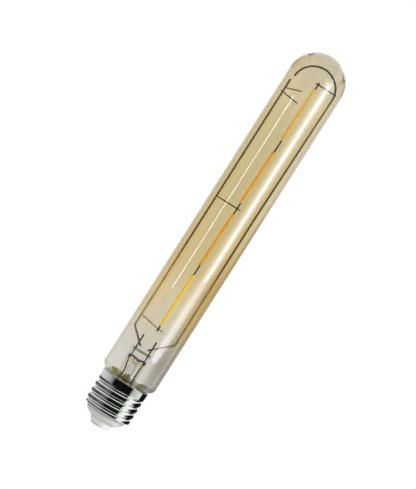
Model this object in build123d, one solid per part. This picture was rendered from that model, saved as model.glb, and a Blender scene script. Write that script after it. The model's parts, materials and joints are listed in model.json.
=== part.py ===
"""Long tubular LED filament bulb with an E27 screw cap, in millimetres.

The axis is Z. The origin is the middle of the centre contact's face and +Z runs up to the dome.
The two wire rails stand in a plane along X, the left one at -X, and the front is towards -Y.
"""

import os
from math import atan2, ceil, cos, degrees, radians, sin, sqrt, tan

from build123d import *

# E27 screw cap: rolled sheet shell with a round right-hand thread
thread_diameter = 26.1
thread_depth = 0.95
thread_pitch = 3.629
thread_turns = 4.1
thread_ridge_width = 3.2
thread_crest_width = 1.2
thread_sides = 18
thread_start_z = 5.88
sheet = 0.3
skirt_step = 0.15
skirt_height = 4.3

# Moulded insulator in two tiers, and the centre contact riveted through it
contact_diameter = 9.2
contact_height = 0.8
shank_diameter = 2.0
shank_stand = 1.5
tier_height = 2.8
tier_taper = 1.5
tier_edge = 0.35
tier_step = 0.3
cone_height = 4.6
cone_bulge = 0.4
ledge_inset = 0.7
plug_height = 1.6
fit_gap = 0.05

# Glass envelope: tube, hemispherical dome, rounded shoulder and neck
tube_diameter = 30.5
glass_wall = 0.9
neck_clearance = 0.35
neck_depth = 4.6
shoulder_angle = 55.0
shoulder_radius = 4.5
shoulder_drop = 0.7
inner_shoulder_sides = 1
inner_dome_sides = 3
cement_gap = 0.02

# Glass stem: flare on the neck's end, tube, flat press and exhaust tube
stem_offset = -1.3
stem_wall = 0.9
flare_neck_gap = 0.3
press_height_above_rim = 17.4
press_height = 4.2
press_thickness = 3.2
pinch_height = 3.4
hollow_slot = 1.6
hollow_top_gap = 1.4
exhaust_diameter = 4.0
exhaust_wall = 0.7
exhaust_tail = 6.0
exhaust_tip = 1.5
exhaust_hole_diameter = 1.4

# Lead wires through the press
lead_diameter = 0.8
lead_spacing = 7.7
lead_stand = 7.6
lead_bore_gap = 0.15
left_lead_inset = 1.1
left_lead_slant = 5.0
seal_gap = 0.01

# Wire rails, arch, cross wires and wall prongs
wire_sides = 8
rail_diameter = 1.0
rail_wall_gap = 2.3
rail_foot_angle = 43.0
rail_foot_bend = 2.4
rail_foot_overrun = 2.4
rail_weld_below_lead_tip = 4.3
right_rail_bow = 1.1
right_foot_inset = 0.85
right_rail_bow_radius = 1500.0
left_rail_inset = 0.25
left_rail_drop = 5.0
arch_drop = 3.1
arch_end_rise = 0.6
arch_end_inset = 1.1
arch_headroom = 5.9
cross_diameter = 0.7
cross_rail_overrun = 0.7
top_cross_overrun = 1.25
middle_cross_overrun = 2.0
bottom_cross_overrun = 2.9
bottom_cross_bend = 4.0
bottom_cross_fall = 2.2
weld_gap = 0.02
bead_diameter = 2.2
bead_length = 2.4
bead_wire_gap = 0.55
prong_diameter = 0.6
prong_overrun = 0.5
prong_drop = 12.4
prong_spacing = 2.6
prong_tip_gap = 0.05
front_prong_tip_x = -2.4
rear_prong_tip_x = -3.8
rear_prong_rise = 0.9

# Column of filaments in series, slightly out of plumb
filament_length = 31.1
filament_width = 1.8
filament_thickness = 1.5
filament_bevel = 0.45
joint_gaps = (7.7, 6.9, 6.2)
column_above_press = 13.8
column_bottom_x = -0.45
column_top_x = 1.75
top_tail = 2.8
bottom_tail = 2.3
terminal_width = 0.8
terminal_thickness = 0.2
terminal_socket = 1.2
terminal_overlap = 2.4
terminal_stub = 1.3

# Driver in the cap
board_edge_gap = 1.2
board_headroom = 2.0
board_thickness = 1.0
board_gap = 0.4
lead_landing = 5.6
rectifier_size = (4.0, 1.5, 3.0)
rectifier_place = (5.6, 2.2)
chip_size = (3.9, 1.4, 3.0)
chip_place = (-2.0, 2.2)
package_bevel = 0.3
capacitor_diameter = 5.0
capacitor_length = 7.0
capacitor_height = 4.6
fuse_diameter = 2.2
fuse_length = 6.0
fuse_wire = 0.6
fuse_clear = 0.6
fuse_stand = 1.0
fuse_landing_x = 5.4
neutral_wire_diameter = 0.8
neutral_drop = 3.0

# Heights up the cap
tier_z = contact_height
cone_z = tier_z + tier_height
lip_z = cone_z + cone_height
skirt_z = lip_z + thread_turns * thread_pitch
rim_z = skirt_z + skirt_height
insulator_top_z = lip_z + plug_height

# Radii of the cap
crest_radius = thread_diameter / 2
root_radius = crest_radius - thread_depth
root_bore = root_radius * cos(radians(180 / thread_sides)) - sheet
skirt_radius = crest_radius + skirt_step
skirt_bore = skirt_radius - sheet

# Insulator and contact
shank_bore = shank_diameter / 2 + fit_gap
tier_radius = contact_diameter / 2 + tier_edge
cone_radius = tier_radius + tier_taper + tier_step
ledge_radius = root_radius - ledge_inset
plug_radius = root_bore - fit_gap
shank_top_z = insulator_top_z + shank_stand

# Glass
tube_radius = tube_diameter / 2
tube_bore = tube_radius - glass_wall
neck_radius = root_bore - neck_clearance
neck_bore = neck_radius - glass_wall
seal_z = rim_z - neck_depth
shoulder_z = rim_z - shoulder_drop
shoulder_slope = tan(radians(shoulder_angle))
cone_width = tube_radius - shoulder_radius * (1 - cos(radians(shoulder_angle))) - neck_radius
tube_z = shoulder_z + cone_width / shoulder_slope + shoulder_radius * sin(radians(shoulder_angle))

# Stem and leads
lead_radius = lead_diameter / 2
stem_bore = lead_spacing / 2 + lead_radius + lead_bore_gap
stem_radius = stem_bore + stem_wall
flare_width = neck_bore - flare_neck_gap - abs(stem_offset) - stem_radius
flare_z = seal_z - stem_wall
press_top_z = rim_z + press_height_above_rim
press_z = press_top_z - press_height
pinch_z = press_z - pinch_height
hollow_top_z = press_z - hollow_top_gap
exhaust_radius = exhaust_diameter / 2
exhaust_z = flare_z - exhaust_tail
lead_top_z = press_top_z + lead_stand
lead_left_x = stem_offset - lead_spacing / 2
lead_right_x = stem_offset + lead_spacing / 2

# Layers from front to back: rails before the leads, cross wires behind the rails, filaments before those
rail_radius = rail_diameter / 2
cross_radius = cross_diameter / 2
prong_radius = prong_diameter / 2
rail_y = -(lead_radius + rail_radius + weld_gap)
cross_y = rail_y + rail_radius + cross_radius + weld_gap
column_y = cross_y - cross_radius - weld_gap - terminal_thickness

# Filament column, measured along its own line from the bottom cross wire
filament_count = len(joint_gaps) + 1
column_length = bottom_tail + filament_count * filament_length + sum(joint_gaps) + top_tail
column_lean = degrees(atan2(column_top_x - column_bottom_x, column_length))
column_z = press_top_z + column_above_press
column = Location((column_bottom_x, column_y, column_z), (0, column_lean, 0))
top_cross_z = column_z + column_length * cos(radians(column_lean))

# Rails and arch
rail_x = tube_bore - rail_wall_gap
left_rail_x = left_rail_inset - rail_x
arch_z = top_cross_z - arch_drop
left_rail_top_z = top_cross_z - left_rail_drop
arch_top_z = arch_z + rail_x - arch_end_inset / 2 + rail_radius
overall_length = arch_top_z + arch_headroom + glass_wall
dome_z = overall_length - tube_radius
weld_z = lead_top_z - rail_weld_below_lead_tip
prong_z = top_cross_z - prong_drop
middle_cross_z = column_z + column_length - top_tail - 2 * filament_length - joint_gaps[0] - joint_gaps[1] / 2

# Driver
board_y = exhaust_radius + board_gap
board_width = 2 * (plug_radius - board_edge_gap)
board_height = flare_z - board_headroom - insulator_top_z
landing_z = insulator_top_z + lead_landing


def at_angle(centre, radius, angle):
    """Point of a circle in the half plane of a turned profile."""
    return (centre[0] + radius * cos(radians(angle)), centre[1] + radius * sin(radians(angle)))


def turned(*edges):
    """Solid of revolution about Z from edges drawn as radius and height."""
    return revolve(Plane.XZ * make_face(edges), Axis.Z)


def turned_polygon(*points):
    """Solid of revolution about Z with straight edges only."""
    return turned(Polyline(*points, close=True))


def round_stretch(centre, radius, start, end, sides):
    """Arc of a turned profile between two angles, or the same arc in a few flats where nobody sees it."""
    steps = sides or 2
    points = [at_angle(centre, radius, start + (end - start) * step / steps) for step in range(steps + 1)]
    return Polyline(*points) if sides else ThreePointArc(*points)


def wire_section(diameter, gap=0.0):
    """Cross section of a wire, or of the hole it is sealed in, with enough sides to read as round."""
    return RegularPolygon(diameter / 2 + gap, wire_sides)


def wire_along(path, diameter):
    """Wire that follows a path."""
    section = Plane(origin=path @ 0, z_dir=path % 0) * wire_section(diameter)
    return sweep(section, path=path, transition=Transition.RIGHT)


def wire(*points, diameter, bend=0.0):
    """Wire along straight runs, with rounded bends where a radius is given and sharp ones elsewhere."""
    path = FilletPolyline(*points, radius=bend) if bend else Polyline(*points)
    return wire_along(path, diameter)


def rod(radius, low, high, x=0.0):
    """Upright round rod between two heights."""
    return Pos(x, 0, low) * Cylinder(radius, high - low, align=(Align.CENTER, Align.CENTER, Align.MIN))


def threaded_rod():
    """Prism with the screw ridge climbing round it in straight chords, one to each side of the prism."""
    land = thread_crest_width / 2
    flank = (thread_ridge_width - thread_crest_width) / 2
    foot = land + flank * (thread_depth + sheet) / thread_depth
    sunk = root_radius - sheet
    profile = Polyline((sunk, -foot), (crest_radius, -land), (crest_radius, land), (sunk, foot), close=True)
    face = Plane.XZ * make_face(profile)
    turns = ceil((skirt_z - thread_start_z) / thread_pitch)
    steps = [step / thread_sides for step in range(turns * thread_sides + 1)]
    stations = [Location((0, 0, thread_start_z + thread_pitch * step), (0, 0, 360 * step)) for step in steps]
    ridge = loft([station * face for station in stations], ruled=True)
    prism = extrude(RegularPolygon(root_radius, thread_sides), (turns + 2) * thread_pitch)
    return Pos(0, 0, thread_start_z - thread_pitch) * prism + ridge


def cap_shell():
    """Rolled shell: screw thread cut off flat at the foot, then a smooth open skirt up to the rim."""
    outside = (threaded_rod() & rod(skirt_radius, lip_z, skirt_z)) + rod(skirt_radius, skirt_z, rim_z)
    return outside - rod(root_bore, lip_z, rim_z) - rod(skirt_bore, skirt_z + sheet, rim_z)


def cap_insulator():
    """White moulded body in two tiers, with a plug pressed into the shell's foot up to a ledge."""
    cone_middle = (cone_radius + ledge_radius) / 2
    cone_middle_z = (cone_z + lip_z) / 2
    return turned_polygon(
        (shank_bore, tier_z),
        (tier_radius, tier_z),
        (tier_radius + tier_taper, cone_z),
        (cone_radius, cone_z),
        (cone_middle + cone_bulge, cone_middle_z - cone_bulge),
        (ledge_radius, lip_z),
        (plug_radius, lip_z),
        (plug_radius, insulator_top_z),
        (shank_bore, insulator_top_z),
    )


def centre_contact():
    """Flat rivet: a disc and a shank up through the insulator."""
    return rod(contact_diameter / 2, 0, contact_height) + rod(shank_diameter / 2, 0, shank_top_z)


def filled_envelope(inset, shoulder_sides=0, dome_sides=0):
    """Everything inside the glass wall's outer or inner face, from the neck's end to the dome's tip."""
    radius = tube_radius - inset
    neck = neck_radius - inset
    shoulder_centre = (tube_radius - shoulder_radius, tube_z)
    shoulder = round_stretch(shoulder_centre, shoulder_radius - inset, -shoulder_angle, 0, shoulder_sides)
    dome = round_stretch((0, dome_z), radius, 0, 90, dome_sides)
    cone_foot = shoulder @ 0
    corner = (neck, cone_foot.Y - (cone_foot.X - neck) / shoulder_slope)
    below = Polyline(dome @ 1, (0, seal_z), (neck, seal_z), corner, cone_foot)
    return turned(below, shoulder, Line(shoulder @ 1, dome @ 0), dome)


def glass_envelope():
    """Blown tube of even wall, open only at the neck's end, where the stem's flare closes it."""
    return filled_envelope(0) - filled_envelope(glass_wall, inner_shoulder_sides, inner_dome_sides)


def cap_cement():
    """Ring of cement between skirt and glass neck, from the shell's step to the foot of the shoulder."""
    low = skirt_z + sheet + cement_gap
    return rod(skirt_bore - cement_gap, low, shoulder_z) - rod(neck_radius + cement_gap, low, shoulder_z)


def pinched_tube(radius, half_thickness, flat_z, top_z):
    """Filled tube on the flare, pinched flat from front and back towards its top."""
    side = Polyline(
        (0, flare_z),
        (radius, flare_z),
        (radius, pinch_z),
        (half_thickness, flat_z),
        (half_thickness, top_z),
        (0, top_z),
    )
    sides = Plane.YZ * make_face([side, mirror(side, about=Plane.YZ)])
    return rod(radius, flare_z, top_z) & extrude(sides, radius, both=True)


def glass_stem():
    """One piece of glass: flare, hollow tube, solid press, and the sealed exhaust tube inside."""
    outside = pinched_tube(stem_radius, press_thickness / 2, press_z, press_top_z)
    hollow = pinched_tube(stem_bore, hollow_slot / 2, hollow_top_z - hollow_slot / 2, hollow_top_z)
    flare_reach = stem_radius + flare_width
    flare = turned_polygon((0, seal_z), (flare_reach, seal_z), (0, seal_z + flare_reach))
    exhaust = rod(exhaust_radius, exhaust_z, press_z)
    exhaust_bore = wire_section(exhaust_diameter - 2 * exhaust_wall)
    hole = Rot(90, 0, 0) * extrude(wire_section(exhaust_hole_diameter), stem_radius)
    stem = outside + flare - hollow + exhaust
    stem -= extrude(Pos(0, 0, exhaust_z + exhaust_tip) * exhaust_bore, press_z - exhaust_z - exhaust_tip)
    stem -= Pos(0, 0, press_z - exhaust_hole_diameter) * hole
    for x in (lead_left_x - stem_offset, lead_right_x - stem_offset):
        stem -= extrude(Pos(x, 0, pinch_z) * wire_section(lead_diameter, seal_gap), press_top_z - pinch_z)
    rim = rod(neck_radius, flare_z, seal_z) - Pos(stem_offset, 0, 0) * hollow
    return rim + Pos(stem_offset, 0, 0) * stem


def lead_wire_left():
    """Lead from the driver board, slanting out inside the stem and up through the press to a free tip."""
    foot_x = lead_left_x + left_lead_inset
    return wire(
        (lead_left_x, 0, lead_top_z),
        (lead_left_x, 0, pinch_z),
        (foot_x, 0, pinch_z - left_lead_slant),
        (foot_x, 0, landing_z),
        (foot_x, board_y - weld_gap, landing_z),
        diameter=lead_diameter,
    )


def lead_wire_right():
    """Straight lead from the driver board up through the press to a free tip."""
    landing = (lead_right_x, board_y - weld_gap, landing_z)
    return wire((lead_right_x, 0, lead_top_z), (lead_right_x, 0, landing_z), landing, diameter=lead_diameter)


def rail_foot(lead_x, foot_x):
    """Tip and corner of a rail's slanted foot, which crosses its lead at the weld."""
    outward = 1 if foot_x > lead_x else -1
    slope = radians(rail_foot_angle)
    tip = (
        lead_x - outward * rail_foot_overrun * cos(slope),
        rail_y,
        weld_z - rail_foot_overrun * sin(slope),
    )
    corner = (foot_x, rail_y, weld_z + abs(foot_x - lead_x) * sin(slope) / cos(slope))
    return tip, corner


def rail_left():
    """Straight upright wire with its foot bent in to the left lead."""
    tip, corner = rail_foot(lead_left_x, left_rail_x)
    top = (left_rail_x, rail_y, left_rail_top_z)
    return wire(tip, corner, top, diameter=rail_diameter, bend=rail_foot_bend)


def rail_right():
    """Slightly bowed upright wire, bent in to the right lead below and over into the arch above."""
    tip, corner = rail_foot(lead_right_x, rail_x - right_foot_inset)
    waist = (rail_x - right_rail_bow, rail_y, (corner[2] + arch_z) / 2)
    top = (rail_x, rail_y, arch_z)
    upright = FilletPolyline(tip, corner, waist, top, radius=[rail_foot_bend, right_rail_bow_radius])
    arch_end = (-(rail_x - arch_end_inset), rail_y, arch_z + arch_end_rise)
    return wire_along(upright + TangentArc(top, arch_end, tangent=upright % 1), rail_diameter)


def column_x(height):
    """Middle of the filament column at a height above the bottom cross wire."""
    return column_bottom_x + height * sin(radians(column_lean)) / cos(radians(column_lean))


def top_cross_wire():
    """From behind the right rail, where it starts to arch, to behind the first filament's terminal."""
    right = (rail_x + cross_rail_overrun, cross_y, top_cross_z)
    left = (column_x(top_cross_z - column_z) - top_cross_overrun, cross_y, top_cross_z)
    return wire(right, left, diameter=cross_diameter)


def middle_cross_wire():
    """From the insulating bead on the left rail to behind the middle joint."""
    left = (left_rail_x + bead_wire_gap, cross_y, middle_cross_z)
    right = (column_x(middle_cross_z - column_z) + middle_cross_overrun, cross_y, middle_cross_z)
    return wire(left, right, diameter=cross_diameter)


def bottom_cross_wire():
    """From behind the left rail, falling to behind the last filament's terminal."""
    left = (left_rail_x - cross_rail_overrun, cross_y, column_z + bottom_cross_fall)
    middle = (column_bottom_x, cross_y, column_z)
    right = (column_bottom_x + bottom_cross_overrun, cross_y, column_z)
    return wire(left, middle, right, diameter=cross_diameter, bend=bottom_cross_bend)


def middle_bead():
    """Bead of clear glass melted round the left rail, holding the middle cross wire's end."""
    rail_hole = extrude(wire_section(rail_diameter, seal_gap), bead_length, both=True)
    wire_hole = Rot(0, 90, 0) * extrude(wire_section(cross_diameter, seal_gap), bead_diameter)
    wire_seat = Pos(bead_wire_gap - seal_gap, cross_y - rail_y, 0) * wire_hole
    bead = Cylinder(bead_diameter / 2, bead_length) - rail_hole - wire_seat
    return Pos(left_rail_x, rail_y, middle_cross_z) * bead


def wall_prong(side, height, tip_x, rise):
    """Short wire from the left rail to the glass wall in front or behind."""
    reach = tube_bore - prong_radius - prong_tip_gap
    foot = Vector(left_rail_x, rail_y, height)
    tip = Vector(tip_x, side * sqrt(reach**2 - tip_x**2), height + rise)
    along = tip - foot
    run = along.normalized()
    beside = Vector(run.Y, -run.X, 0).normalized()
    offset = rail_radius + prong_radius + weld_gap
    spread = (along.length + prong_overrun) / along.length
    start = foot + beside * (offset * spread) - run * prong_overrun
    return wire(start, tip, diameter=prong_diameter)


def filament_spans():
    """Lower and upper end of each coated strip along the column, the top one first."""
    spans = []
    upper = column_length - top_tail
    for gap in (*joint_gaps, bottom_tail):
        spans.append((upper - filament_length, upper))
        upper -= filament_length + gap
    return spans


def terminal(low, high, layer):
    """Flat metal tab in the front or back layer of the column."""
    size = (terminal_width, terminal_thickness, high - low)
    return Pos(0, layer * terminal_thickness / 2, (low + high) / 2) * Box(*size)


def filaments():
    """Coated strips with a tab let into each end; neighbouring tabs lap front to back and are welded."""
    made = {}
    spans = filament_spans()
    reach_above = [top_tail + terminal_stub] + [(gap + terminal_overlap) / 2 for gap in joint_gaps]
    reach_below = reach_above[1:] + [bottom_tail + terminal_stub]
    for number, (low, high) in enumerate(spans, start=1):
        upper_tab = terminal(high - terminal_socket, high + reach_above[number - 1], -1)
        lower_tab = terminal(low - reach_below[number - 1], low + terminal_socket, 1)
        section = chamfer(Rectangle(filament_width, filament_thickness).vertices(), filament_bevel)
        strip = extrude(Pos(0, 0, low) * section, filament_length)
        made[f"filament_{number}"] = column * (strip - upper_tab - lower_tab)
        made[f"filament_{number}_upper_terminal"] = column * upper_tab
        made[f"filament_{number}_lower_terminal"] = column * lower_tab
    return made


def driver_board():
    """Upright circuit board that stands on the insulator's plug behind the exhaust tube."""
    board = Box(board_width, board_thickness, board_height)
    return Pos(0, board_y + board_thickness / 2, insulator_top_z + board_height / 2) * board


def chip_on_board(size, place):
    """Moulded package on the board's front face, with its upper edges bevelled."""
    body = Box(*size)
    body = chamfer(body.faces().sort_by(Axis.Y)[0].edges(), package_bevel)
    middle_y = board_y - weld_gap - size[1] / 2
    return Pos(place[0], middle_y, insulator_top_z + place[1]) * body


def smoothing_capacitor():
    """Round can lying across the board's back."""
    radius = capacitor_diameter / 2
    middle_y = board_y + board_thickness + weld_gap + radius
    can = Rot(0, 90, 0) * Cylinder(radius, capacitor_length)
    return Pos(0, middle_y, insulator_top_z + capacitor_height) * can


def fuse_resistor():
    """Upright resistor with its own two leads, one to the contact's shank and one to the board."""
    y = -(exhaust_radius + fuse_clear + fuse_diameter / 2)
    weld_height = (insulator_top_z + shank_top_z) / 2
    low = weld_height + fuse_stand
    high = low + fuse_length
    turn_z = high + fuse_stand
    body = extrude(Pos(0, y, low) * wire_section(fuse_diameter), fuse_length)
    middle = (0, y, (low + high) / 2)
    shank_face = (0, -shank_diameter / 2 - weld_gap, weld_height)
    below = wire(middle, (0, y, weld_height), shank_face, diameter=fuse_wire)
    board_face = (fuse_landing_x, board_y - weld_gap, turn_z)
    above = wire(middle, (0, y, turn_z), (fuse_landing_x, y, turn_z), board_face, diameter=fuse_wire)
    return body + below + above


def neutral_wire():
    """Short wire from the board's left edge to the inside of the shell."""
    y = board_y + board_thickness / 2
    height = insulator_top_z + board_height - neutral_drop
    outer_y = y + neutral_wire_diameter / 2
    wall_x = -sqrt(root_bore**2 - outer_y**2)
    left = (wall_x + weld_gap, y, height)
    right = (-board_width / 2 - weld_gap, y, height)
    return wire(left, right, diameter=neutral_wire_diameter)


nodes = {
    "glass_envelope": glass_envelope(),
    "glass_stem": glass_stem(),
    "lead_wire_left": lead_wire_left(),
    "lead_wire_right": lead_wire_right(),
    "rail_left": rail_left(),
    "rail_right": rail_right(),
    "top_cross_wire": top_cross_wire(),
    "middle_cross_wire": middle_cross_wire(),
    "middle_bead": middle_bead(),
    "bottom_cross_wire": bottom_cross_wire(),
    "front_wall_prong": wall_prong(-1, prong_z, front_prong_tip_x, 0),
    "rear_wall_prong": wall_prong(1, prong_z + prong_spacing, rear_prong_tip_x, rear_prong_rise),
    **filaments(),
    "cap_shell": cap_shell(),
    "cap_insulator": cap_insulator(),
    "centre_contact": centre_contact(),
    "cap_cement": cap_cement(),
    "driver_board": driver_board(),
    "bridge_rectifier": chip_on_board(rectifier_size, rectifier_place),
    "driver_chip": chip_on_board(chip_size, chip_place),
    "smoothing_capacitor": smoothing_capacitor(),
    "fuse_resistor": fuse_resistor(),
    "neutral_wire": neutral_wire(),
}

os.makedirs("parts", exist_ok=True)
for name, solid in nodes.items():
    export_step(solid, f"parts/{name}.step")
print(f"overall length {overall_length:.2f} mm, glass {tube_diameter:.1f} mm, {len(nodes)} nodes")
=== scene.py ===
import json
import math

import bpy
from mathutils import Matrix, Vector


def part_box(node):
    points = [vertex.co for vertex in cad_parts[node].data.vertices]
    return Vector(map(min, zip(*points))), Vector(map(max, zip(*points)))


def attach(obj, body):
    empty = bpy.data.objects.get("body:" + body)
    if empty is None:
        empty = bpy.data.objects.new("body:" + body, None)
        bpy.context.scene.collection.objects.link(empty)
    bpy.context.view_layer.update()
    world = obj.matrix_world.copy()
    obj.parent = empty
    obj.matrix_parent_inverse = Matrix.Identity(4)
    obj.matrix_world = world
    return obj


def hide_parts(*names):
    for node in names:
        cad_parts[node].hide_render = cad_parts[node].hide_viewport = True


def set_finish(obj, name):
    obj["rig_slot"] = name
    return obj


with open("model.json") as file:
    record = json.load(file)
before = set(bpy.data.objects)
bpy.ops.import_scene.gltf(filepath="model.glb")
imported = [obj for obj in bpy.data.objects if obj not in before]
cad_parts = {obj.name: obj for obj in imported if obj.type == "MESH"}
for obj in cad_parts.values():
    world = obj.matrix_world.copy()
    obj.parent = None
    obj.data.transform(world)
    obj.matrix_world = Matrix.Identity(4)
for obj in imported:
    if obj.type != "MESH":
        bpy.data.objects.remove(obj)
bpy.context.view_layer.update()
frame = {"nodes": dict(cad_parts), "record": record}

mm = 0.001

# Sizes from the frame
glass_low, glass_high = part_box("glass_envelope")
shell_low, shell_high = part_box("cap_shell")
insulator_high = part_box("cap_insulator")[1]
contact_low, contact_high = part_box("centre_contact")
tube_radius = glass_high.x
dome_z = glass_high.z - tube_radius
neck_z = glass_low.z
rim_z = shell_high.z
lip_z = shell_low.z
skirt_radius = shell_high.x

# Glass
glass_wall = 0.9 * mm
neck_radius = 11.27 * mm
shoulder_radius = 4.5 * mm
shoulder_angle = math.radians(55)
shoulder_z = rim_z - 0.7 * mm
shoulder_foot_radius = 4 * mm
tube_edge = 0.2 * mm

# Cap
sheet = 0.3 * mm
crest_radius = skirt_radius - 0.15 * mm
thread_depth = 0.95 * mm
thread_pitch = 3.629 * mm
thread_start_z = 5.88 * mm
thread_softness = 0.06
thread_runout = 0.9 * mm
lip_height = 1.3 * mm
lip_inset = 0.9 * mm
skirt_z = rim_z - 4.3 * mm
skirt_flare = 0.25 * mm
rim_curl = 0.45 * mm
rim_height = 0.35 * mm
shell_edge = 0.12 * mm

# Insulator and contact
contact_radius = contact_high.x
contact_top = 0.8 * mm
contact_edge = 0.5 * mm
shank_radius = 1.0 * mm
tier_top = 3.6 * mm
tier_radius = contact_radius + 0.35 * mm
tier_taper = 1.5 * mm
tier_edge = 0.6 * mm
tier_corner = 0.15 * mm
tier_ledge = 0.3 * mm
tier_ledge_corner = 0.5 * mm
bulge_radius = 9.75 * mm
bulge_z = 5.2 * mm
bulge_rounding = 4 * mm
bulge_top_radius = crest_radius - thread_depth - 0.7 * mm
plug_radius = insulator_high.x

# Cement: each lump has a middle and a reach, in degrees away from straight behind, and a rise in mm
cement_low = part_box("cap_cement")[0].z
cement_gap = 0.02 * mm
cement_inner = neck_radius + cement_gap
cement_outer = skirt_radius - sheet - cement_gap
cement_chamfer = 1.1 * mm
cement_lip = 0.2 * mm
cement_lip_rise = 0.9
cement_wall_rise = 0.6
cement_film = 0.15 * mm
cement_ripple = 0.12 * mm
cement_ripples = 11
cement_lumps = ((-41, 22, 2.6), (-4, 12, 3.3), (50, 18, 2.9))

# Fineness of the meshes
on_axis = 1e-6
sharp_angle = math.radians(40)
lathe_segments = 128
shell_segments = 160
shell_rows = 130
cement_segments = 180
shoulder_steps = 12
dome_steps = 32
rim_steps = 6
corner_steps = 5
corner_share = 0.49

# View: the bulb leans to the right and its dome comes a little towards the viewer
view_lean = math.radians(32.386)
view_elevation = math.radians(6)
view_height = 250.3 * mm
view_target = Vector((-2.13, 0, 109.1)) * mm
view_distance = 1.0


def mesh_object(name, points, faces):
    """Smooth-shaded mesh, sharp where it turns by more than an angle."""
    mesh = bpy.data.meshes.new(name)
    mesh.from_pydata(points, [], faces)
    mesh.shade_smooth()
    mesh.set_sharp_from_angle(angle=sharp_angle)
    piece = bpy.data.objects.new(name, mesh)
    bpy.context.collection.objects.link(piece)
    return piece


def rings_object(name, rings):
    """Closed surface through rings of points of equal count, the last ring joined to the first."""
    count = len(rings[0])
    points = [point for ring in rings for point in ring]
    faces = []
    for row in range(len(rings)):
        here = row * count
        there = (row + 1) % len(rings) * count
        for step in range(count):
            after = (step + 1) % count
            faces.append((here + step, here + after, there + after, there + step))
    return mesh_object(name, points, faces)


def round_angles(count):
    """Equal steps once round."""
    return [2 * math.pi * step / count for step in range(count)]


def turned(radius, height, angle):
    """Point of a profile turned about Z by an angle."""
    return (radius * math.cos(angle), radius * math.sin(angle), height)


def lathe(name, profile):
    """Closed profile of radius and height turned about Z."""
    angles = round_angles(lathe_segments)
    rings = []
    for radius, height in profile:
        rings.append([turned(radius, height, angle) for angle in angles])
    return rings_object(name, rings)


def arc(centre, radius, start, end, steps):
    """Points of an arc in a profile, angles in radians."""
    points = []
    for step in range(steps + 1):
        angle = start + (end - start) * step / steps
        points.append((centre[0] + radius * math.cos(angle), centre[1] + radius * math.sin(angle)))
    return points


def rounded(corners):
    """Profile through corners of radius and height, each rounded by an amount of its own."""
    points = [Vector(corner[:2]) for corner in corners]
    done = []
    for index, corner in enumerate(points):
        rounding = corners[index][2]
        if not rounding:
            done.append(tuple(corner))
            continue
        before = points[index - 1] - corner
        after = points[(index + 1) % len(points)] - corner
        setback = rounding / math.tan(before.angle(after) / 2)
        setback = min(setback, corner_share * before.length, corner_share * after.length)
        start = corner + before.normalized() * setback
        end = corner + after.normalized() * setback
        for step in range(corner_steps + 1):
            t = step / corner_steps
            done.append(tuple(start * (1 - t) ** 2 + corner * 2 * t * (1 - t) + end * t ** 2))
    return done


def envelope_side(inset):
    """Profile of the glass's outer or inner face, from the neck's end up to the dome's tip."""
    neck = neck_radius - inset
    tube = tube_radius - inset
    slope = math.tan(shoulder_angle)
    cone_width = tube_radius - shoulder_radius * (1 - math.cos(shoulder_angle)) - neck_radius
    tube_z = shoulder_z + cone_width / slope + shoulder_radius * math.sin(shoulder_angle)
    shoulder_centre = (tube_radius - shoulder_radius, tube_z)
    shoulder = arc(shoulder_centre, shoulder_radius - inset, -shoulder_angle, 0, shoulder_steps)
    corner_z = shoulder[0][1] - (shoulder[0][0] - neck) / slope
    foot = rounded([(neck, neck_z, 0), (neck, corner_z, shoulder_foot_radius), (*shoulder[0], 0)])
    upright = [(tube, tube_z + tube_edge), (tube, dome_z - tube_edge)]
    dome = arc((0, dome_z), tube, 0, math.pi / 2, dome_steps)
    dome[-1] = (on_axis, dome[-1][1])
    return foot[:-1] + shoulder + upright + dome


envelope = lathe("envelope_glass", envelope_side(0) + envelope_side(glass_wall)[::-1])
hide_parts("glass_envelope")
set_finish(envelope, "amber_glass")


def share(value, span):
    """How much of a span a value covers, from 0 to 1."""
    return min(max(value / span, 0), 1)


def shell_radius(angle, height):
    """Outer radius of the rolled thread, running out into the skirt above and rounding in at the foot."""
    turn = (height - thread_start_z) / thread_pitch - angle / (2 * math.pi)
    crest = math.hypot(math.cos(math.pi * turn), thread_softness) - thread_softness
    crest /= math.hypot(1, thread_softness) - thread_softness
    wave = crest_radius - thread_depth * (1 - crest)
    up = share(height - skirt_z + thread_runout, thread_runout)
    up = up * up * (3 - 2 * up)
    foot = share(height - lip_z, lip_height)
    drop = lip_inset * (1 - math.sqrt(1 - (1 - foot) ** 2))
    return wave * (1 - up) + (skirt_radius - skirt_flare) * up - drop


def shell_rings():
    """Rings of the shell: thread and skirt outside, rim, and plain bore inside."""
    angles = round_angles(shell_segments)
    rings = []
    for row in range(shell_rows + 1):
        height = lip_z + (skirt_z - shell_edge - lip_z) * row / shell_rows
        rings.append([turned(shell_radius(angle, height), height, angle) for angle in angles])
    bore = crest_radius - thread_depth - sheet
    roll_z = rim_z - rim_height
    outline = []
    for height in (skirt_z, skirt_z + shell_edge, roll_z - shell_edge):
        flare = skirt_flare * (height - skirt_z) / (roll_z - skirt_z)
        outline.append((skirt_radius - skirt_flare + flare, height))
    for step in range(rim_steps + 1):
        angle = math.pi / 2 * step / rim_steps
        radius = skirt_radius - rim_curl * (1 - math.cos(angle))
        outline.append((radius, roll_z + rim_height * math.sin(angle)))
    outline += [
        (skirt_radius - rim_curl, rim_z - shell_edge),
        (skirt_radius - sheet, roll_z - shell_edge),
        (skirt_radius - sheet, skirt_z + sheet),
        (bore, skirt_z),
        (bore, lip_z),
    ]
    for radius, height in outline:
        rings.append([turned(radius, height, angle) for angle in angles])
    return rings


shell = rings_object("threaded_shell", shell_rings())
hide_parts("cap_shell")
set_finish(shell, "nickel")

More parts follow.
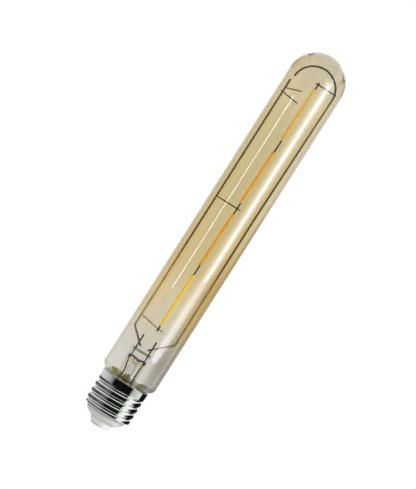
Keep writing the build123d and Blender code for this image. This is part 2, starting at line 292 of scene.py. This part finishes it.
insulator = lathe("moulded_insulator", rounded([
    (shank_radius, contact_top, 0),
    (tier_radius, contact_top, tier_edge),
    (tier_radius + tier_taper, tier_top, tier_corner),
    (tier_radius + tier_taper + tier_ledge, tier_top, tier_ledge_corner),
    (bulge_radius, bulge_z, bulge_rounding),
    (bulge_top_radius, lip_z, 0),
    (plug_radius, lip_z, 0),
    (plug_radius, insulator_high.z, 0),
    (shank_radius, insulator_high.z, 0),
]))
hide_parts("cap_insulator")
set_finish(insulator, "white_plastic")

contact = lathe("rivet_contact", rounded([
    (on_axis, contact_low.z, 0),
    (contact_radius, contact_low.z, contact_edge),
    (contact_radius, contact_top, 0),
    (shank_radius, contact_top, 0),
    (shank_radius, contact_high.z, 0),
    (on_axis, contact_high.z, 0),
]))
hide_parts("centre_contact")
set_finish(contact, "contact_metal")


def cement_top(angle):
    """How far the cement has oozed up, by the angle in degrees away from straight behind."""
    height = cement_film
    for middle, reach, rise in cement_lumps:
        away = abs(angle - middle) / reach
        if away < 1:
            height = max(height, rise * mm * math.sqrt(1 - away ** 2))
    return height + cement_ripple * math.sin(math.radians(angle * cement_ripples))


def cement_rings():
    """Rings of the cement from the inner foot round the outside and back down the glass."""
    slope = math.tan(shoulder_angle)
    columns = []
    for angle in round_angles(cement_segments):
        behind = math.degrees(math.atan2(math.cos(angle), math.sin(angle)))
        rise = cement_top(behind)
        top_radius = cement_inner + max(rise, cement_chamfer) / slope
        outline = [
            (cement_inner, cement_low),
            (cement_outer, cement_low),
            (cement_outer, shoulder_z + cement_wall_rise * rise),
            (max(cement_outer - cement_lip, top_radius), shoulder_z + cement_lip_rise * rise),
            (top_radius, shoulder_z + rise),
            (cement_inner + cement_chamfer / slope, shoulder_z + min(rise, cement_chamfer)),
            (cement_inner, shoulder_z - cement_chamfer),
        ]
        columns.append([turned(radius, height, angle) for radius, height in outline])
    return list(zip(*columns))


cement_ring = rings_object("oozed_cement", cement_rings())
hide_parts("cap_cement")
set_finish(cement_ring, "cement")

# Colour sockets of a mix node
mix_first, mix_second, mix_result = 6, 7, 2


def grey(value):
    """Neutral colour."""
    return (value, value, value)


def levels(*pairs):
    """Stops of a ramp in neutral tones."""
    return [(position, grey(level)) for position, level in pairs]


def connect(tree, value, socket):
    """Give a socket a number, a colour or what another node puts out."""
    if isinstance(value, tuple):
        socket.default_value = (*value, 1)
    elif isinstance(value, (int, float)):
        socket.default_value = value
    else:
        tree.links.new(value, socket)


def ramp(tree, stops, value):
    """Colour ramp over stops of position and colour."""
    node = tree.nodes.new("ShaderNodeValToRGB")
    elements = node.color_ramp.elements
    elements[0].position, elements[0].color = stops[0][0], (*stops[0][1], 1)
    elements[1].position, elements[1].color = stops[-1][0], (*stops[-1][1], 1)
    for position, color in stops[1:-1]:
        element = elements.new(position)
        element.color = (*color, 1)
    tree.links.new(value, node.inputs["Fac"])
    return node.outputs["Color"]


def math_node(tree, operation, *values):
    """Result of an operation on numbers or sockets."""
    node = tree.nodes.new("ShaderNodeMath")
    node.operation = operation
    for socket, value in zip(node.inputs, values):
        connect(tree, value, socket)
    return node.outputs["Value"]


def times(tree, *factors):
    """Factors multiplied."""
    result = factors[0]
    for factor in factors[1:]:
        result = math_node(tree, "MULTIPLY", result, factor)
    return result


def smooth_step(tree, value, start, end):
    """0 before the start and 1 after the end, or the other way round if the end comes first."""
    node = tree.nodes.new("ShaderNodeMapRange")
    node.interpolation_type = "SMOOTHSTEP"
    rising = end > start
    node.inputs["From Min"].default_value = min(start, end)
    node.inputs["From Max"].default_value = max(start, end)
    node.inputs["To Min"].default_value = 0 if rising else 1
    node.inputs["To Max"].default_value = 1 if rising else 0
    tree.links.new(value, node.inputs["Value"])
    return node.outputs["Result"]


def blended(tree, mode, factor, first, second):
    """Two colours brought together in a mode as far as a factor says."""
    node = tree.nodes.new("ShaderNodeMix")
    node.data_type = "RGBA"
    node.blend_type = mode
    connect(tree, factor, node.inputs["Factor"])
    connect(tree, first, node.inputs[mix_first])
    connect(tree, second, node.inputs[mix_second])
    return node.outputs[mix_result]


def mixed(tree, factor, first, second):
    """One colour or another by a factor."""
    return blended(tree, "MIX", factor, first, second)


def multiplied(tree, color, factor, tint):
    """Colour darkened by a tint as far as a factor says."""
    return blended(tree, "MULTIPLY", factor, color, tint)


def split(tree, vector):
    """X, Y and Z of a vector."""
    node = tree.nodes.new("ShaderNodeSeparateXYZ")
    tree.links.new(vector, node.inputs["Vector"])
    return node.outputs


def place(tree):
    """Where a point is in object space."""
    return tree.nodes.new("ShaderNodeTexCoord").outputs["Object"]


def coordinate(tree, axis):
    """One coordinate of a point in object space."""
    return split(tree, place(tree))[axis]


def height_fraction(tree):
    """How far up the glass a point is."""
    node = tree.nodes.new("ShaderNodeMapRange")
    node.inputs["From Min"].default_value = glass_low.z
    node.inputs["From Max"].default_value = glass_high.z
    tree.links.new(coordinate(tree, "Z"), node.inputs["Value"])
    return node.outputs["Result"]


# Grain and mottle of the opaque materials
noise_detail = 3.0
grain_low, grain_high = 0.3, 0.7
grain_scale = 900
grain_relief = 0.1 * mm
mottle_scale = 700
mottle_levels = levels((grain_low, 0.8), (grain_high, 1.1))


def noise(tree, scale):
    """Noise in object space."""
    node = tree.nodes.new("ShaderNodeTexNoise")
    node.inputs["Scale"].default_value = scale
    node.inputs["Detail"].default_value = noise_detail
    tree.links.new(place(tree), node.inputs["Vector"])
    return node.outputs["Fac"]


def new_material(name):
    """Material with its node tree and the shader of its surface."""
    material = bpy.data.materials.new(name)
    material.use_nodes = True
    tree = material.node_tree
    tree.nodes.clear()
    shader = tree.nodes.new("ShaderNodeBsdfPrincipled")
    output = tree.nodes.new("ShaderNodeOutputMaterial")
    tree.links.new(shader.outputs["BSDF"], output.inputs["Surface"])
    return material, tree, shader


def coat(tree, shader, color, roughness, metallic=0.0, gloss=0.5, glow=0.0):
    """Colour and finish of an opaque shader, and how much painted light it glows in that colour."""
    tree.links.new(color, shader.inputs["Base Color"])
    shader.inputs["Roughness"].default_value = roughness
    shader.inputs["Metallic"].default_value = metallic
    shader.inputs["Specular IOR Level"].default_value = gloss
    if glow:
        tree.links.new(color, shader.inputs["Emission Color"])
        shader.inputs["Emission Strength"].default_value = glow


def surface(name, dark, light, scale=grain_scale, bump=0.0, paint=None, **finish):
    """Material that varies a little between two colours, with a fine bump where one is given."""
    material, tree, shader = new_material(name)
    grain = noise(tree, scale)
    color = ramp(tree, [(grain_low, dark), (grain_high, light)], grain)
    if paint:
        color = paint(tree, color)
    coat(tree, shader, color, **finish)
    if bump:
        relief = tree.nodes.new("ShaderNodeBump")
        relief.inputs["Strength"].default_value = bump
        relief.inputs["Distance"].default_value = grain_relief
        tree.links.new(grain, relief.inputs["Height"])
        tree.links.new(relief.outputs["Normal"], shader.inputs["Normal"])
    return material


def graded(name, stops, paint=None, **finish):
    """Material whose colour changes up the bulb, a little mottled."""
    material, tree, shader = new_material(name)
    color = ramp(tree, stops, height_fraction(tree))
    if paint:
        color = paint(tree, color)
    mottle = ramp(tree, mottle_levels, noise(tree, mottle_scale))
    coat(tree, shader, multiplied(tree, color, 1, mottle), **finish)
    return material


def glass(name, tint, bending):
    """Clear glass with a tint that a function works out in its tree."""
    material, tree, shader = new_material(name)
    shader.inputs["Transmission Weight"].default_value = 1.0
    shader.inputs["Roughness"].default_value = 0.0
    shader.inputs["IOR"].default_value = bending
    tree.links.new(tint(tree), shader.inputs["Base Color"])
    return material


# Glass tint by how far up the bulb a point is: clear at the foot, gold above, greyer in the dome
tube_tint = [
    (0.00, (0.87, 0.85, 0.82)), (0.06, (0.84, 0.825, 0.785)), (0.10, (0.83, 0.81, 0.765)),
    (0.17, (0.825, 0.795, 0.705)), (0.26, (0.87, 0.80, 0.64)), (0.36, (0.83, 0.74, 0.53)),
    (0.60, (0.80, 0.73, 0.52)), (0.80, (0.81, 0.745, 0.555)), (0.88, (0.845, 0.785, 0.615)),
    (0.93, (0.81, 0.76, 0.62)), (1.00, (0.76, 0.72, 0.62)),
]

# Painted shade: deeper gold at both sides, most of all low down
side_shade_x = (7 * mm, 14 * mm)
side_shade_heights = (0.12, 0.24)
side_shade_tint = (0.98, 0.95, 0.87)
hip_shade_x = (7 * mm, 12 * mm)
hip_shade_heights = levels((0.14, 0), (0.22, 1), (0.30, 1), (0.45, 0.2), (0.60, 0))
hip_shade_tint = (0.99, 0.96, 0.88)

# Painted shade: brown low on the right. Painted light: paler near the right edge higher up
brown_shade_x = (6 * mm, 9.5 * mm)
brown_shade_end_x = (13.6 * mm, 12.4 * mm)
brown_shade_heights = levels((0.03, 0), (0.12, 1), (0.30, 1), (0.45, 0.2), (0.60, 0))
brown_shade_tint = (0.88, 0.85, 0.80)
painted_light_x = (11.5 * mm, 13 * mm)
painted_light_heights = (0.30, 0.60)
painted_light_tint = (0.86, 0.81, 0.68)

# Grey shade on the right of the foot
shade_x = (5.8 * mm, 10.5 * mm)
shade_end_x = (14.2 * mm, 12.2 * mm)
shade_heights = levels((0.09, 1), (0.13, 0.6), (0.165, 0.33), (0.23, 0))
shade_tint = (0.77, 0.775, 0.79)

# Painted shade: a brown line at the right edge, which follows the shoulder inwards, and a darker one half way
# up
line_shade_x = (13.7 * mm, 14.2 * mm)
line_bend_z = 31.5 * mm
line_slope = 0.7
line_shade_tint = [
    (0.08, (0.50, 0.49, 0.45)), (0.165, (0.60, 0.55, 0.48)), (0.25, (0.74, 0.66, 0.46)),
    (0.45, (0.95, 0.87, 0.58)), (0.62, (1.0, 0.97, 0.86)), (0.75, grey(1)),
]
edge_shade_x = (14.7 * mm, 14.9 * mm)
edge_shade_y = (0.3 * mm, -0.3 * mm)
edge_shade_heights = levels((0.28, 0), (0.36, 0.5), (0.42, 1), (0.52, 1), (0.60, 0.4), (0.68, 0))
edge_shade_tint = (0.46, 0.40, 0.29)


def amber_tint(tree):
    """Tint of the tube by height, then painted shade at the sides and on the right, painted light near the
    right edge and a painted dark line along it.
    """
    across = coordinate(tree, "X")
    off_axis = math_node(tree, "ABSOLUTE", across)
    height = height_fraction(tree)
    color = ramp(tree, tube_tint, height)
    side = times(tree, smooth_step(tree, off_axis, *side_shade_x), smooth_step(tree, height, *side_shade_heights))
    color = multiplied(tree, color, side, side_shade_tint)
    hip_shade = times(tree, smooth_step(tree, off_axis, *hip_shade_x), ramp(tree, hip_shade_heights, height))
    color = multiplied(tree, color, hip_shade, hip_shade_tint)
    brown = times(tree, smooth_step(tree, across, *brown_shade_x), ramp(tree, brown_shade_heights, height))
    brown = times(tree, brown, smooth_step(tree, across, *brown_shade_end_x))
    color = multiplied(tree, color, brown, brown_shade_tint)
    pale = times(tree, smooth_step(tree, across, *painted_light_x), smooth_step(tree, height, *painted_light_heights))
    color = mixed(tree, pale, color, painted_light_tint)
    shade = times(tree, smooth_step(tree, across, *shade_x), ramp(tree, shade_heights, height))
    shade = times(tree, shade, smooth_step(tree, across, *shade_end_x))
    color = multiplied(tree, color, shade, shade_tint)
    drop = math_node(tree, "MAXIMUM", math_node(tree, "SUBTRACT", line_bend_z, coordinate(tree, "Z")), 0)
    reach = math_node(tree, "MULTIPLY_ADD", drop, line_slope, across)
    line_shaded = multiplied(tree, color, 1, ramp(tree, line_shade_tint, height))
    color = mixed(tree, smooth_step(tree, reach, *line_shade_x), color, line_shaded)
    edge = times(tree, smooth_step(tree, across, *edge_shade_x), ramp(tree, edge_shade_heights, height))
    edge = times(tree, edge, smooth_step(tree, coordinate(tree, "Y"), *edge_shade_y))
    return multiplied(tree, color, edge, edge_shade_tint)


# Stem: the fold of the press shows as a dark wavy line, its top as a grey bar
stem_grain = 300
stem_clear = [(grain_low, (0.95, 0.95, 0.94)), (grain_high, (0.99, 0.99, 0.98))]
press_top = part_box("glass_stem")[1].z
fold_x = -0.9 * mm
fold_reach = 2.95 * mm
fold_top = press_top - 4.4 * mm
fold_dip = 1.3 * mm
fold_width = (0.7 * mm, 0.35 * mm)
fold_front_y = (-1.3 * mm, -1.5 * mm)
fold_middle = (0.6, 0.5)
fold_tint = (0.16, 0.09, 0.06)
bar_foot_z = (press_top - 1.6 * mm, press_top - 1.0 * mm)
bar_head_z = (press_top + 1 * mm, press_top + 0.5 * mm)
bar_tint = (0.40, 0.37, 0.30)
# Painted shade: the stem darkens towards its outlines, where its glass is seen edge-on
outline_turn = (0.6, 0.95)
outline_foot_z = (28.5 * mm, 30 * mm)
outline_gap_z = press_top - 5.8 * mm
outline_gap = (2.2 * mm, 2.6 * mm)
outline_shade_tint = (0.35, 0.32, 0.27)


def stem_tint(tree):
    """Clear, with the wavy fold in front, the grey bar and painted shade along the outlines."""
    height = coordinate(tree, "Z")
    color = ramp(tree, stem_clear, noise(tree, stem_grain))
    head = smooth_step(tree, height, *bar_head_z)
    away = math_node(tree, "ABSOLUTE", math_node(tree, "SUBTRACT", height, outline_gap_z))
    facing = tree.nodes.new("ShaderNodeLayerWeight").outputs["Facing"]
    outline = times(tree, smooth_step(tree, facing, *outline_turn), smooth_step(tree, away, *outline_gap))
    outline = times(tree, outline, head, smooth_step(tree, height, *outline_foot_z))
    color = multiplied(tree, color, outline, outline_shade_tint)
    across = math_node(tree, "DIVIDE", math_node(tree, "SUBTRACT", coordinate(tree, "X"), fold_x), fold_reach)
    aside = math_node(tree, "ABSOLUTE", across)
    sag = math_node(tree, "POWER", math_node(tree, "SUBTRACT", aside, 1), 2)
    line = math_node(tree, "SUBTRACT", fold_top, times(tree, sag, fold_dip))
    off = math_node(tree, "ABSOLUTE", math_node(tree, "SUBTRACT", height, line))
    in_front = smooth_step(tree, coordinate(tree, "Y"), *fold_front_y)
    painted = math_node(tree, "MAXIMUM", in_front, smooth_step(tree, aside, *fold_middle))
    fold = times(tree, smooth_step(tree, off, *fold_width), painted)
    color = multiplied(tree, color, fold, fold_tint)
    bar = times(tree, smooth_step(tree, height, *bar_foot_z), head)
    return multiplied(tree, color, bar, bar_tint)


# Wires: painted light at the right rail's foot and in a band low on the rails; also lighter near the right
# rail's top and where the arch comes down on the left
wire_tints = [
    (0.12, (0.24, 0.19, 0.13)), (0.16, (0.52, 0.43, 0.31)), (0.18, (0.90, 0.74, 0.52)),
    (0.32, (0.80, 0.62, 0.38)), (0.40, (0.190, 0.115, 0.020)), (0.75, (0.180, 0.110, 0.020)),
    (0.85, (0.160, 0.100, 0.025)), (0.90, (0.120, 0.076, 0.022)), (0.93, (0.003, 0.002, 0.001)),
]
rail_foot_x = (2.5 * mm, 4 * mm)
rail_foot_end_x = (11 * mm, 8 * mm)
rail_foot_z = (60 * mm, 55 * mm)
rail_foot_light_tint = (0.85, 0.74, 0.58)
arch_x = (-2.5 * mm, -5 * mm)
arch_z = (207.5 * mm, 209.5 * mm)
arch_tint = (0.25, 0.15, 0.09)
rail_top_x = (8 * mm, 9 * mm)
rail_top_z = (172 * mm, 184 * mm)
rail_top_end_z = (206 * mm, 202 * mm)
rail_top_tint = (0.34, 0.23, 0.11)
lead_tints = [
    (0.07, (0.22, 0.18, 0.13)), (0.09, (0.10, 0.08, 0.06)),
    (0.12, (0.08, 0.065, 0.050)), (0.16, (0.12, 0.10, 0.075)),
]


def wire_tones(tree, color):
    """Lighter places on the rails, painted light at the right rail's foot."""
    across = coordinate(tree, "X")
    height = coordinate(tree, "Z")
    foot = times(tree, smooth_step(tree, across, *rail_foot_x), smooth_step(tree, across, *rail_foot_end_x))
    foot = times(tree, foot, smooth_step(tree, height, *rail_foot_z))
    color = mixed(tree, foot, color, rail_foot_light_tint)
    arch = times(tree, smooth_step(tree, across, *arch_x), smooth_step(tree, height, *arch_z))
    color = mixed(tree, arch, color, arch_tint)
    top = times(tree, smooth_step(tree, height, *rail_top_z), smooth_step(tree, height, *rail_top_end_z))
    top = times(tree, top, smooth_step(tree, across, *rail_top_x))
    return mixed(tree, top, color, rail_top_tint)


# Filaments: the lowest is yellow, the others orange, and painted shade makes each deeper in colour on its
# left
filament_tints = [
    (0.345, (0.98, 0.79, 0.11)), (0.365, (0.92, 0.52, 0.09)), (0.72, (0.92, 0.54, 0.10)),
    (0.76, (0.93, 0.62, 0.15)), (0.94, (0.93, 0.65, 0.18)),
]
column_low, column_high = (sum(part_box(name), Vector()) / 2 for name in ("filament_4", "filament_1"))
column_slope = (column_high.x - column_low.x) / (column_high.z - column_low.z)
filament_left_shade_x = (0.2 * mm, -0.4 * mm)
filament_left_shade_tint = (0.85, 0.78, 0.85)


def left_shade(tree, color):
    """Painted shade: deeper colour left of the line on which the filaments stand."""
    rise = math_node(tree, "SUBTRACT", coordinate(tree, "Z"), column_low.z)
    axis = math_node(tree, "MULTIPLY_ADD", rise, column_slope, column_low.x)
    off = math_node(tree, "SUBTRACT", coordinate(tree, "X"), axis)
    return multiplied(tree, color, smooth_step(tree, off, *filament_left_shade_x), filament_left_shade_tint)


# Insulator: painted shade makes its upper tier greyer, most so under the thread and in a line at its foot
tier_shade_z = (tier_top - 0.2 * mm, tier_top)
tier_shade_tone = grey(0.87)
under_thread_shade_z = (5.4 * mm, 7.6 * mm)
under_thread_shade_tone = grey(0.68)
tier_line_shade_z = tier_top + 0.2 * mm
tier_line_shade_width = (0.4 * mm, 0.1 * mm)
tier_line_shade_tone = grey(0.8)


def upper_tier_shade(tree, color):
    """Painted shade of the upper tier."""
    height = coordinate(tree, "Z")
    color = multiplied(tree, color, smooth_step(tree, height, *tier_shade_z), tier_shade_tone)
    color = multiplied(tree, color, smooth_step(tree, height, *under_thread_shade_z), under_thread_shade_tone)
    off = math_node(tree, "ABSOLUTE", math_node(tree, "SUBTRACT", height, tier_line_shade_z))
    return multiplied(tree, color, smooth_step(tree, off, *tier_line_shade_width), tier_line_shade_tone)


# Cement: olive where it is thick and pale between; painted shade makes it darker on the right and in front
lump_core = 0.85
cement_right_shade_x = (5 * mm, 7 * mm)
cement_right_shade_tone = grey(0.66)
cement_pale = (0.88, 0.86, 0.78)
cement_front_shade_y = (3 * mm, -3 * mm)
cement_front_shade_tone = grey(0.85)


def cement_patches(tree, color):
    """Colour of the lumps and of what is between them, with the painted shade on the right and in front."""
    across = coordinate(tree, "X")
    depth = coordinate(tree, "Y")
    behind = math_node(tree, "ARCTAN2", across, math_node(tree, "ABSOLUTE", depth))
    thick = 0
    for middle, reach, _ in cement_lumps:
        away = math_node(tree, "ABSOLUTE", math_node(tree, "SUBTRACT", behind, math.radians(middle)))
        lump = smooth_step(tree, away, math.radians(reach), math.radians(lump_core * reach))
        thick = math_node(tree, "MAXIMUM", thick, lump)
    color = multiplied(tree, color, smooth_step(tree, across, *cement_right_shade_x), cement_right_shade_tone)
    color = mixed(tree, thick, cement_pale, color)
    return multiplied(tree, color, smooth_step(tree, depth, *cement_front_shade_y), cement_front_shade_tone)


slots = {
    "amber_glass": glass("amber_glass", amber_tint, bending=1.5),
    "clear_glass": glass("clear_glass", stem_tint, bending=1.2),
    "dark_wire": graded("dark_wire", wire_tints, wire_tones, roughness=0.55, gloss=0.1),
    "lead_wire": graded("lead_wire", lead_tints, roughness=0.5, gloss=0.2),
    # Painted light: the phosphor glows a little in its own colour
    "phosphor": graded("phosphor", filament_tints, left_shade, roughness=0.55, glow=0.62),
    "terminal_metal": surface("terminal_metal", (0.04, 0.035, 0.025), (0.08, 0.07, 0.05), roughness=0.45),
    "nickel": surface(
        "nickel", (0.87, 0.91, 0.865), (0.92, 0.96, 0.91), scale=400, roughness=0.04, metallic=1.0
    ),
    "white_plastic": surface(
        "white_plastic", (0.64, 0.65, 0.62), (0.70, 0.71, 0.68), paint=upper_tier_shade, roughness=0.3
    ),
    "contact_metal": surface(
        "contact_metal", (0.74, 0.73, 0.71), (0.82, 0.81, 0.79), roughness=0.5, metallic=0.4
    ),
    # Painted light: the cement glows a little in its own colour, so that it is not dark inside the cap
    "cement": surface(
        "cement", (0.30, 0.28, 0.012), (0.46, 0.43, 0.04),
        scale=700, bump=0.5, paint=cement_patches, roughness=0.8, glow=0.45,
    ),
    "circuit_board": surface("circuit_board", (0.02, 0.10, 0.04), (0.03, 0.14, 0.06), roughness=0.5),
    "black_package": surface("black_package", grey(0.010), grey(0.020), roughness=0.5),
    "capacitor_sleeve": surface(
        "capacitor_sleeve", (0.50, 0.51, 0.53), (0.60, 0.61, 0.63), roughness=0.35, metallic=0.8
    ),
    "resistor": surface("resistor", (0.16, 0.22, 0.28), (0.22, 0.28, 0.34), roughness=0.5),
    "copper_wire": surface(
        "copper_wire", (0.55, 0.28, 0.14), (0.65, 0.36, 0.20), roughness=0.4, metallic=1.0
    ),
}
for part in frame["record"]["subparts"]:
    node = frame["nodes"][part["node"]]
    node.data.materials.clear()
    node.data.materials.append(slots[part["material_slot"]])
for piece in (envelope, shell, insulator, contact, cement_ring):
    piece.data.materials.append(slots[piece["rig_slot"]])
    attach(piece, "root")

# What metal and glass reflect, by the way a mirror would have to face to show it in front: tones by how
# far it faces to the right, and where they hold by how far it faces up
studio_tone = grey(0.9)
wall_tones = levels(
    (-1.00, 0.03), (-0.56, 0.01), (-0.46, 0.14), (-0.32, 0.10), (-0.20, 0.004), (0.39, 0.004),
    (0.45, 1.0), (0.63, 1.0), (0.70, 0.004), (0.98, 0.004), (1.00, 0.3),
)
flank_x = (-0.36, -0.52)
flank_lean = (0.30, 0.42)
flank_tone = grey(0.28)
table_tones = levels(
    (-1.00, 0.5), (-0.95, 0.68), (-0.62, 0.44), (-0.50, 0.26), (-0.38, 0.004), (0.38, 0.004),
    (0.44, 0.44), (0.78, 0.8), (0.82, 0.004), (0.97, 0.004), (1.00, 0.4),
)
table_tilt = levels((-0.10, 0), (-0.08, 1), (-0.035, 1), (-0.025, 0))
sky_tilt = levels((-0.64, 0.4), (-0.59, 1), (-0.52, 0), (0.52, 0), (0.59, 1), (0.64, 0.4))
far_right_x = (0.64, 0.72)
far_right_lean = (0.59, 0.63)
upright_tones = levels(
    (-1.00, 0.60), (-0.86, 0.50), (-0.80, 0.02), (0.90, 0.02), (0.94, 0.35), (1.00, 0.40),
)
upright_tilt = levels((-0.025, 0), (-0.015, 1), (0.015, 1), (0.025, 0))

# What shows through the glass: white behind, brown shade beside that, dark in front, and two dark cards
# above the bulb, each rolled from upright by an angle in degrees and with its own reach
beside_tones = [
    (-0.80, grey(1)), (-0.58, (0.80, 0.74, 0.62)), (-0.40, (0.80, 0.74, 0.62)), (-0.20, grey(1)),
    (0.12, grey(1)), (0.40, (0.80, 0.75, 0.66)), (0.58, (0.80, 0.75, 0.66)), (0.80, grey(1)),
]
card_places = ((-51, 0.06), (60, 0.08))
card_core = 0.6
card_rise = (0.24, 0.32)
card_tone = grey(0.18)
front_tone = grey(0.30)
behind_front = levels((-0.6, 0), (-0.3, 1))
below_front = (-0.125, -0.145)


def ramp_across(tree, stops, value):
    """Colour ramp over a value between -1 and 1."""
    node = tree.nodes.new("ShaderNodeMapRange")
    node.inputs["From Min"].default_value = -1
    tree.links.new(value, node.inputs["Value"])
    return ramp(tree, [((position + 1) / 2, color) for position, color in stops], node.outputs["Result"])


def vector_node(tree, operation, vector, other=None):
    """Node for an operation on a vector, or on it and a fixed one."""
    node = tree.nodes.new("ShaderNodeVectorMath")
    node.operation = operation
    tree.links.new(vector, node.inputs[0])
    if other:
        node.inputs[1].default_value = other
    return node


def reflected(tree, direction):
    """Tones that metal and glass reflect."""
    front = (0, -math.cos(view_elevation), math.sin(view_elevation))
    halfway = vector_node(tree, "ADD", direction, front).outputs["Vector"]
    across, _, tilt = split(tree, vector_node(tree, "NORMALIZE", halfway).outputs["Vector"])
    lean = math_node(tree, "ABSOLUTE", tilt)
    flanks = times(tree, smooth_step(tree, across, *flank_x), smooth_step(tree, lean, *flank_lean))
    walls = mixed(tree, flanks, ramp_across(tree, wall_tones, across), flank_tone)
    table = ramp_across(tree, table_tones, across)
    room = mixed(tree, ramp_across(tree, table_tilt, tilt), walls, table)
    far_right = smooth_step(tree, across, *far_right_x)
    sky = ramp_across(tree, sky_tilt, tilt)
    sky = mixed(tree, far_right, sky, smooth_step(tree, lean, *far_right_lean))
    room = mixed(tree, sky, room, studio_tone)
    upright = ramp_across(tree, upright_tones, across)
    return mixed(tree, ramp_across(tree, upright_tilt, tilt), room, upright)


def card(tree, direction, roll, reach):
    """Where a small dark card above the bulb is."""
    rise = vector_node(tree, "DOT_PRODUCT", direction, (math.sin(roll), 0, math.cos(roll))).outputs["Value"]
    side = vector_node(tree, "DOT_PRODUCT", direction, (math.cos(roll), 0, -math.sin(roll))).outputs["Value"]
    across = smooth_step(tree, math_node(tree, "ABSOLUTE", side), reach, card_core * reach)
    return times(tree, smooth_step(tree, rise, *card_rise), across)


def refracted(tree, direction):
    """Tones that show through the glass."""
    across, depth, height = split(tree, direction)
    beside = ramp_across(tree, beside_tones, across)
    for roll, reach in card_places:
        beside = mixed(tree, card(tree, direction, math.radians(roll), reach), beside, card_tone)
    lit = ramp_across(tree, behind_front, depth)
    lit = math_node(tree, "MAXIMUM", lit, smooth_step(tree, height, *below_front))
    return mixed(tree, lit, front_tone, beside)


# World: white behind the bulb, studio tones in what is reflected and refracted
world = bpy.data.worlds.new("studio")
world.use_nodes = True
bpy.context.scene.world = world
sky_tree = world.node_tree
sky_tree.nodes.clear()
ray = sky_tree.nodes.new("ShaderNodeLightPath").outputs
outwards = sky_tree.nodes.new("ShaderNodeTexCoord").outputs["Generated"]
seen = mixed(sky_tree, ray["Is Glossy Ray"], studio_tone, reflected(sky_tree, outwards))
seen = mixed(sky_tree, ray["Is Transmission Ray"], seen, refracted(sky_tree, outwards))
seen = mixed(sky_tree, ray["Is Camera Ray"], seen, grey(1))
background = sky_tree.nodes.new("ShaderNodeBackground")
world_output = sky_tree.nodes.new("ShaderNodeOutputWorld")
sky_tree.links.new(seen, background.inputs["Color"])
sky_tree.links.new(background.outputs["Background"], world_output.inputs["Surface"])


def group(name, *pieces):
    """Collection of the pieces that a light falls on."""
    collection = bpy.data.collections.new(name)
    for piece in pieces:
        collection.objects.link(piece)
    return collection


glazed = group("glazed", envelope)
footing = group("foot", insulator, contact)
left_color = (0.95, 1.0, 1.12)
softbox_color = (0.93, 1.0, 1.17)
softbox_low = -59.5 * mm
softbox_core_low = softbox_low + 51 * mm


def strip_light(name, azimuth, width, height, middle_z, radiance, receivers, distance=1.0, color=grey(1)):
    """Soft light that faces the bulb's axis from an azimuth in degrees."""
    light = bpy.data.lights.new(name, "AREA")
    light.shape = "RECTANGLE"
    light.size = width
    light.size_y = height
    light.energy = radiance * math.pi * width * height
    light.color = color
    lamp = bpy.data.objects.new(name, light)
    angle = math.radians(azimuth)
    away = Vector((math.sin(angle), -math.cos(angle), 0))
    spot = away * distance + Vector((0, 0, middle_z))
    lamp.matrix_world = Matrix.Translation(spot) @ away.to_track_quat("Z", "Y").to_matrix().to_4x4()
    lamp.visible_transmission = False
    lamp.light_linking.receiver_collection = receivers
    bpy.context.collection.objects.link(lamp)


def softbox(name, azimuth, width, low_z, high_z, radiance, distance):
    """Part of the tall soft light on the right, which reaches up over the dome."""
    height = high_z - low_z
    middle_z = (low_z + high_z) / 2
    strip_light(name, azimuth, width, height, middle_z, radiance, glazed, distance, softbox_color)


strip_light("foot_light", azimuth=66, width=0.3, height=0.3, middle_z=0.5, radiance=48, receivers=footing)
strip_light(
    "left_strip", azimuth=-44.1, width=0.085, height=0.1175, middle_z=0.037, radiance=10,
    receivers=glazed, color=left_color,
)
softbox(
    "right_softbox", azimuth=51.5, width=0.85,
    low_z=softbox_low, high_z=1.10, radiance=1.8, distance=1.0,
)
softbox(
    "right_softbox_middle", azimuth=52, width=0.46,
    low_z=softbox_low, high_z=0.75, radiance=4.7, distance=0.99,
)
softbox(
    "right_softbox_core", azimuth=53, width=0.18,
    low_z=softbox_core_low, high_z=0.50, radiance=7.5, distance=0.98,
)

# Camera
camera_data = bpy.data.cameras.new("camera")
camera_data.type = "ORTHO"
camera_data.sensor_fit = "VERTICAL"
camera_data.ortho_scale = view_height
camera = bpy.data.objects.new("camera", camera_data)
sideways = Vector((1, 0, 0))
upwards = Vector((0, math.sin(view_elevation), math.cos(view_elevation)))
right = sideways * math.cos(view_lean) + upwards * math.sin(view_lean)
up = upwards * math.cos(view_lean) - sideways * math.sin(view_lean)
back = right.cross(up)
turn = Matrix((right, up, back)).transposed().to_4x4()
camera.matrix_world = Matrix.Translation(view_target + back * view_distance) @ turn
bpy.context.collection.objects.link(camera)
bpy.context.scene.camera = camera
bpy.context.scene.view_settings.view_transform = "Standard"
